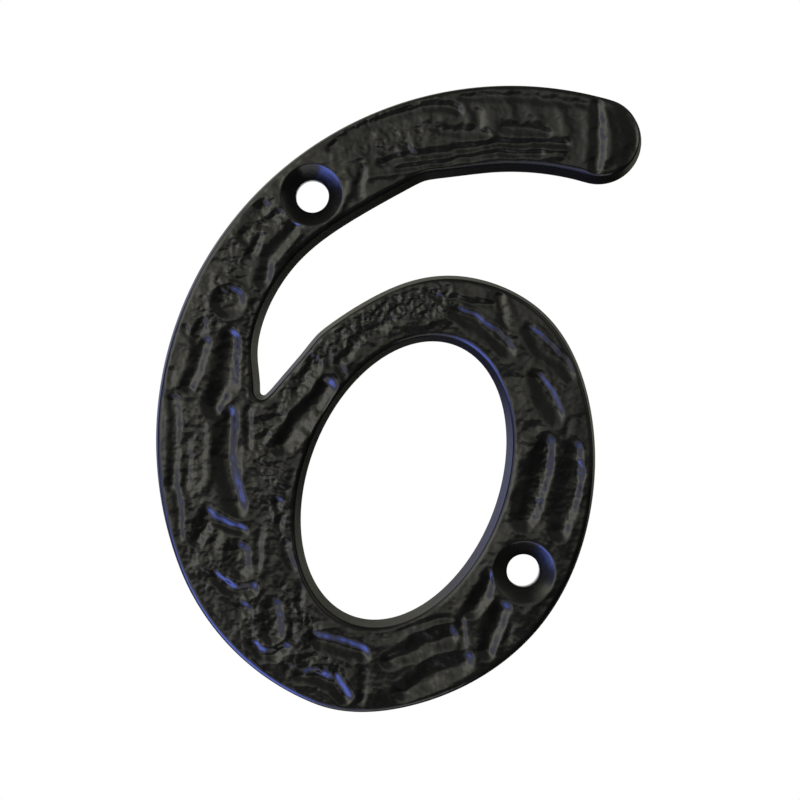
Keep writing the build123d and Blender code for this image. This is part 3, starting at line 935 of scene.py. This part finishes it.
def hammer_tree():
    """Geometry nodes that sink and raise the front by the strokes and give it waves and grain."""
    tree = bpy.data.node_groups.new("Hammered Front", "GeometryNodeTree")
    tree.is_modifier = True
    for name, kind in (
        ("Geometry", "NodeSocketGeometry"),
        ("Strokes", "NodeSocketObject"),
        ("Relief", "NodeSocketFloat"),
        ("Waves", "NodeSocketFloat"),
        ("Grain", "NodeSocketFloat"),
        ("Headroom", "NodeSocketFloat"),
        ("Seed", "NodeSocketFloat"),
        ("Wander", "NodeSocketFloat"),
        ("Melt", "NodeSocketInt"),
        ("Fall", "NodeSocketFloat"),
        ("Paint", "NodeSocketMaterial"),
    ):
        tree.interface.new_socket(name, in_out="INPUT", socket_type=kind)
    tree.interface.new_socket("Geometry", in_out="OUTPUT", socket_type="NodeSocketGeometry")
    board = Wire(tree)
    given = board.node("NodeGroupInput")
    result = tree.nodes.new("NodeGroupOutput")
    place = board.node("GeometryNodeInputPosition")

    def store(geometry, name, value, kind="FLOAT"):
        settings = {"data_type": kind, "domain": "POINT"}
        inputs = {"Geometry": geometry, "Name": name, "Value": value}
        return board.node("GeometryNodeStoreNamedAttribute", settings, inputs)

    def kept(name, kind="FLOAT"):
        return board.node("GeometryNodeInputNamedAttribute", {"data_type": kind}, {"Name": name})

    def noise(size, detail, output=0):
        inputs = {
            "Vector": place,
            "W": given.output("Seed"),
            "Scale": 1 / size,
            "Detail": detail,
            "Roughness": NOISE_ROUGHNESS,
        }
        return board.node("ShaderNodeTexNoise", {"noise_dimensions": "4D"}, inputs, output)

    def swing(size, detail):
        """Noise that goes up and down from nothing."""
        return noise(size, detail) - 0.5

    # The strokes are looked up at places that stray a little, which makes their edges uneven.
    guide = {"Object": given.output("Strokes")}
    strokes = board.node("GeometryNodeObjectInfo", {"transform_space": "ORIGINAL"}, guide, "Geometry")
    points = {"Geometry": strokes}
    count = board.node("GeometryNodeAttributeDomainSize", {"component": "MESH"}, points, "Point Count")
    fresh = given.output("Geometry")
    for name in ("sunk", "raised", "rough"):
        fresh = store(fresh, name, 0.0)
    stray = board.vectors("SUBTRACT", noise(STRAY_SIZE, 1.0, "Color"), (0.5, 0.5, 0.5))
    stray = board.scaled(stray, given.output("Wander"))
    fresh = store(fresh, "strayed", board.vectors("ADD", place, stray), "FLOAT_VECTOR")

    # Each turn of the loop works one straight piece of a stroke into the front.
    opening = tree.nodes.new("GeometryNodeRepeatInput")
    closing = tree.nodes.new("GeometryNodeRepeatOutput")
    opening.pair_with_output(closing)
    count.feed(opening, "Iterations")
    fresh.feed(opening, "Geometry")
    turn = Wire(tree, opening.outputs["Iteration"])
    front = Wire(tree, opening.outputs["Geometry"])

    def sampled(value):
        settings = {"data_type": "FLOAT_VECTOR", "domain": "POINT"}
        inputs = {"Geometry": strokes, "Value": value, "Index": turn}
        return board.node("GeometryNodeSampleIndex", settings, inputs)

    def split(vector):
        return board.node("ShaderNodeSeparateXYZ", None, {"Vector": vector})

    def flat(parts):
        return board.node("ShaderNodeCombineXYZ", None, {"X": parts, "Z": parts.output("Z")})

    start = split(sampled(place))
    end, form, side = (split(sampled(kept(name, "FLOAT_VECTOR"))) for name in ("end", "form", "side"))
    stroke_height, lip, patch = form, form.output("Y"), form.output("Z")
    skew, slope = side, side.output("Y")
    run = board.vectors("SUBTRACT", flat(end), flat(start))
    reach = board.vectors("SUBTRACT", flat(split(kept("strayed", "FLOAT_VECTOR"))), flat(start))
    share = (board.dot(reach, run) / board.dot(run, run)).clamped()
    gap = board.vectors("SUBTRACT", reach, board.scaled(run, share))
    apart = board.length(gap)
    turned = board.dot(board.vectors("CROSS_PRODUCT", run, gap), WALL_WAY)
    half = start.output("Y") + share * (end.output("Y") - start.output("Y"))
    half = half * (1.0 + skew * turned / (board.length(run) * apart + TINY))
    inside = half - apart
    filled = (inside / (half * slope)).ramp(0.0, 1.0)
    height = stroke_height * filled
    lip_place = inside / LIP_HALF + 1.0
    lip_shape = board.maths("MAXIMUM", 1.0 - lip_place * lip_place, 0.0)
    raised = board.maths("MAXIMUM", kept("raised"), height)
    raised = board.maths("MAXIMUM", raised, lip * lip_shape * lip_shape)
    front = store(front, "raised", raised)
    front = store(front, "sunk", board.maths("MINIMUM", kept("sunk"), height))
    front = store(front, "rough", board.maths("MAXIMUM", kept("rough"), patch * filled))
    front.feed(closing, "Geometry")
    worked = Wire(tree, closing.outputs["Geometry"])

    # The strokes and waves are melted together, the grain stays sharp, and no ridge passes the CAD's front.
    waves = swing(WAVE_SIZE, 1.5) * 2.0 * given.output("Waves")
    grain = given.output("Grain")
    lumps = swing(LUMP_SIZE, 1.5) * (LUMPS_OF_GRAIN * grain + LUMPS_OF_ROUGH * kept("rough"))
    lumps = lumps + swing(SWELL_SIZE, 1.0) * SWELLS_OF_GRAIN * grain
    veins = board.maths("ABSOLUTE", swing(VEIN_SIZE, 1.0)).ramp(0.0, VEIN_SPAN, -1.0, 0.0)
    lumps = lumps + veins * (VEINS_OF_GRAIN * grain + VEINS_OF_ROUGH * kept("rough"))
    total = (kept("raised") + kept("sunk")) * given.output("Relief") + waves
    inputs = {"Value": total, "Iterations": given.output("Melt")}
    total = board.node("GeometryNodeBlurAttribute", {"data_type": "FLOAT"}, inputs)
    total = total + lumps - kept("edge").ramp(0.0, FALL_WIDTH, given.output("Fall"), 0.0)
    headroom = given.output("Headroom")
    total = board.maths("SMOOTH_MIN", total, headroom, headroom) * kept("front")
    offset = board.node("ShaderNodeCombineXYZ", None, {"Y": -total})
    worked = board.node("GeometryNodeSetPosition", None, {"Geometry": worked, "Offset": offset})
    for name in ("sunk", "raised", "rough", "strayed", "front", "edge"):
        worked = board.node("GeometryNodeRemoveAttribute", None, {"Geometry": worked, "Name": name})
    worked = board.node("GeometryNodeRealizeInstances", None, {"Geometry": worked})
    facing = board.dot(board.node("GeometryNodeInputNormal"), WALL_WAY)
    curved = board.maths("LESS_THAN", facing, FLAT_BACK)
    worked = board.node("GeometryNodeSetShadeSmooth", None, {"Geometry": worked, "Shade Smooth": curved})
    inputs = {"Geometry": worked, "Material": given.output("Paint")}
    worked = board.node("GeometryNodeSetMaterial", None, inputs)
    worked.feed(result, "Geometry")
    return tree


def hammered(mesh, sizes, paint):
    """The casting as a plain mesh object, with its front worked by the hammer tree."""
    piece = bpy.data.objects.new(NODE + "_casting", mesh)
    guide = bpy.data.objects.new("strokes", stroke_mesh())
    for made in (piece, guide):
        bpy.context.scene.collection.objects.link(made)
    modifier = piece.modifiers.new("Hammered Front", "NODES")
    modifier.node_group = hammer_tree()
    values = {
        "Strokes": guide,
        "Relief": sizes.relief,
        "Waves": sizes.unevenness,
        "Grain": sizes.grain,
        "Headroom": sizes.headroom,
        "Seed": float(sizes.seed),
        "Wander": sizes.wander,
        "Melt": sizes.melt,
        "Fall": sizes.fall,
        "Paint": paint,
    }
    for socket in modifier.node_group.interface.items_tree:
        if socket.in_out == "INPUT" and socket.name in values:
            modifier[socket.identifier] = values[socket.name]
    graph = bpy.context.evaluated_depsgraph_get()
    graph.update()
    finished = bpy.data.meshes.new_from_object(piece.evaluated_get(graph))
    piece.modifiers.remove(modifier)
    piece.data = finished
    finished.name = piece.name
    bpy.data.meshes.remove(mesh)
    spare = guide.data
    bpy.data.objects.remove(guide)
    bpy.data.meshes.remove(spare)
    if len(finished.materials) == 0 or len(finished.polygons) == 0:
        raise RuntimeError("the hammer tree gave no painted casting")
    return piece


def new_material(name):
    """A material, a Wire for its nodes and its shader."""
    made = bpy.data.materials.new(name)
    made.use_nodes = True
    return made, Wire(made.node_tree), made.node_tree.nodes["Principled BSDF"]


def paint_material(look):
    """Satin black paint: a little uneven in colour and gloss, with a fine orange peel."""
    paint, board, shader = new_material("satin_black_paint")
    place = board.node("ShaderNodeTexCoord", None, None, "Object")

    def noise(size, detail):
        return board.node("ShaderNodeTexNoise", None, {"Vector": place, "Scale": 1 / size, "Detail": detail})

    cloud = noise(CLOUD_SIZE, 3.0)
    speck = noise(SPECK_SIZE, 2.0)
    peel = noise(PEEL_SIZE, 1.0)
    deep, pale = (tuple(share * c for c in look.colour) + (1.0,) for share in (DEEP_SHARE, PALE_SHARE))
    colour = board.mixed((cloud * CLOUD_TINT + speck * SPECK_TINT).ramp(0.35, 0.65), deep, pale)
    colour.feed(shader, "Base Color")
    roughness = look.roughness + (cloud - 0.5) * CLOUD_GLOSS + (speck - 0.5) * SPECK_GLOSS
    roughness.feed(shader, "Roughness")
    bump = board.node("ShaderNodeBump", None, {"Height": peel, "Distance": look.peel, "Strength": 1.0})
    bump.feed(shader, "Normal")
    shader.inputs["IOR"].default_value = PAINT_IOR
    return paint


def mirrored(seen):
    """1 for the rays of a Light Path node that a surface mirrors or lets through, 0 for the others."""
    return seen.maths("MAXIMUM", seen.output("Is Glossy Ray"), seen.output("Is Transmission Ray"))


def white_world(studio):
    """A white card behind the number, a room that brightens from the upper right to the lower left, and a cool
    window that only shows where the paint mirrors it."""
    world = bpy.data.worlds.new("studio")
    bpy.context.scene.world = world
    world.use_nodes = True
    tree = world.node_tree
    board = Wire(tree)
    background = tree.nodes["Background"]
    seen = board.node("ShaderNodeLightPath")
    way = board.node("ShaderNodeTexCoord", None, None, "Generated")
    toward, ahead, up = (board.dot(way, axis) for axis in (LOWER_LEFT_WAY, WALL_WAY, UP_WAY))

    # The room is brightest between the camera and the lower left, and falls off below the camera, far out on
    # that side and towards the wall. Its farthest upper right is a little lighter again.
    gain = toward.ramp(-0.45, -0.1, 0.0, 0.45) + toward.ramp(-0.12, 0.3, 0.0, 0.55)
    gain = gain + toward.ramp(-1.0, -0.8, 0.45, 0.0)
    lit = studio.shade + (1.0 - studio.shade) * gain
    below = up.ramp(-0.12, 0.02, studio.below, 0.0) * toward.ramp(0.3, 0.6, 1.0, 0.0)
    room = studio.room * lit * lit * (1.0 - below)
    room = room * toward.ramp(0.38, 0.62, 1.0, 0.4) * ahead.ramp(-0.1, 0.3, 1.0, 0.28)

    # The card is white to the camera, and in reflections only straight behind the number.
    card = board.maths("MAXIMUM", seen, mirrored(seen) * ahead.ramp(0.983, 0.997))
    level = room + card * (1.0 - room)
    level.feed(background, "Strength")

    # The side colour fills the lower left and, more weakly, that side of the wall.
    beside = 0.75 * ahead.ramp(0.3, 0.7) * toward.ramp(0.0, 0.2)
    aside = board.maths("MAXIMUM", toward.ramp(0.32, 0.75), beside)
    tint = board.mixed(aside, (*studio.room_colour, 1.0), (*studio.side_colour, 1.0))
    tint = board.mixed(card, tint, WHITE)
    tint.feed(background, "Color")

    near = board.dot(way, WINDOW_WAY).ramp(0.6, 1.0)
    glow = near * near * studio.window * seen.output("Is Glossy Ray")
    inputs = {"Color": (*studio.window_colour, 1.0), "Strength": glow}
    window = board.node("ShaderNodeBackground", None, inputs)
    both = board.node("ShaderNodeAddShader", None, {0: Wire(tree, background.outputs[0]), 1: window})
    both.feed(tree.nodes["World Output"], "Surface")


def floor_material():
    """A pale floor that the camera sees as white, with the shadow of the number kept."""
    made, board, shader = new_material("pale_floor")
    place = board.node("ShaderNodeTexCoord", None, None, "Object")
    mottle = board.node("ShaderNodeTexNoise", None, {"Vector": place, "Scale": 1 / FLOOR_MOTTLE})
    shade = mottle.ramp(0.3, 0.7, *FLOOR_TONES)
    tint = board.node("ShaderNodeCombineColor", None, {0: shade, 1: shade, 2: shade})
    tint.feed(shader, "Base Color")
    shader.inputs["Roughness"].default_value = FLOOR_ROUGHNESS
    seen = board.node("ShaderNodeLightPath")
    shown = board.maths("MAXIMUM", seen, mirrored(seen))
    glow = board.node("ShaderNodeEmission", None, {"Strength": FLOOR_GLOW})
    dark = board.node("ShaderNodeEmission", None, {"Strength": 0.0})
    lit = board.node("ShaderNodeMixShader", None, {0: shown, 1: dark, 2: glow})
    whole = board.node("ShaderNodeAddShader", None, {0: Wire(board.tree, shader.outputs[0]), 1: lit})
    whole.feed(made.node_tree.nodes["Material Output"], "Surface")
    return made


def lamp(name, power, place, size, colour):
    """A square soft lamp that faces the number."""
    light = bpy.data.lights.new(name, "AREA")
    light.shape = "RECTANGLE"
    light.size = light.size_y = size
    light.energy = power
    light.color = colour
    made = bpy.data.objects.new(name, light)
    made.location = place
    made.rotation_euler = (Vector(FIGURE_CENTRE) - Vector(place)).to_track_quat("-Z", "Y").to_euler()
    bpy.context.scene.collection.objects.link(made)
    return made


class HOUSENUMBER_OT_casting(bpy.types.Operator):
    """Build the painted casting with its hammered front"""

    bl_idname = "house_number.casting"
    bl_label = "Build Casting"

    def execute(self, context):
        sizes = context.scene.casting_sizes
        paint = paint_material(context.scene.paint_look)
        piece = hammered(casting_mesh(sizes), sizes, paint)
        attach(piece, BODY)
        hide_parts(NODE)
        return {"FINISHED"}


class HOUSENUMBER_OT_studio(bpy.types.Operator):
    """Set up the camera, the floor and the light"""

    bl_idname = "house_number.studio"
    bl_label = "Set Up Studio"

    def execute(self, context):
        scene = context.scene
        studio = scene.studio_settings
        white_world(studio)
        camera = bpy.data.cameras.new("camera")
        camera.sensor_width = SENSOR_WIDTH
        camera.lens = SENSOR_WIDTH * studio.distance / studio.frame_width
        camera.clip_start = CLIP_START
        view = bpy.data.objects.new("camera", camera)
        x, y, z = FIGURE_CENTRE
        view.location = (x, y - studio.distance, z)
        view.rotation_euler = (math.pi / 2, 0.0, 0.0)
        scene.collection.objects.link(view)
        scene.camera = view
        near, far = FLOOR_REACH
        floor_z = CAD_LOW.z - studio.floor_gap
        corners = ((-FLOOR_HALF, near), (FLOOR_HALF, near), (FLOOR_HALF, far), (-FLOOR_HALF, far))
        mesh = bpy.data.meshes.new("floor")
        mesh.from_pydata([(x, y, floor_z) for x, y in corners], [], [(0, 1, 2, 3)])
        floor = bpy.data.objects.new("floor", mesh)
        mesh.materials.append(floor_material())
        scene.collection.objects.link(floor)
        lamp("softbox", studio.softbox, **SOFTBOX)
        fill = lamp("fill", studio.fill, **FILL)
        fill.visible_glossy = False
        scene.view_settings.view_transform = "Standard"
        return {"FINISHED"}


class HOUSENUMBER_PT_sidebar(bpy.types.Panel):
    """Sizes, paint and studio of the house number"""

    bl_label = "House Number"
    bl_idname = "HOUSENUMBER_PT_sidebar"
    bl_space_type = "VIEW_3D"
    bl_region_type = "UI"
    bl_category = "House Number"

    def draw(self, context):
        scene = context.scene
        for title, settings, operator in (
            ("Casting", scene.casting_sizes, HOUSENUMBER_OT_casting.bl_idname),
            ("Paint", scene.paint_look, None),
            ("Studio", scene.studio_settings, HOUSENUMBER_OT_studio.bl_idname),
        ):
            box = self.layout.box()
            box.label(text=title)
            for name in settings.__annotations__:
                box.prop(settings, name)
            if operator:
                box.operator(operator)


CLASSES = (
    CastingSizes,
    PaintLook,
    StudioSettings,
    HOUSENUMBER_OT_casting,
    HOUSENUMBER_OT_studio,
    HOUSENUMBER_PT_sidebar,
)


def register():
    for made in CLASSES:
        bpy.utils.register_class(made)
    bpy.types.Scene.casting_sizes = bpy.props.PointerProperty(type=CastingSizes)
    bpy.types.Scene.paint_look = bpy.props.PointerProperty(type=PaintLook)
    bpy.types.Scene.studio_settings = bpy.props.PointerProperty(type=StudioSettings)


def unregister():
    del bpy.types.Scene.studio_settings
    del bpy.types.Scene.paint_look
    del bpy.types.Scene.casting_sizes
    for made in reversed(CLASSES):
        bpy.utils.unregister_class(made)


def main():
    register()
    bpy.ops.house_number.casting()
    bpy.ops.house_number.studio()


if __name__ == "__main__":
    main()
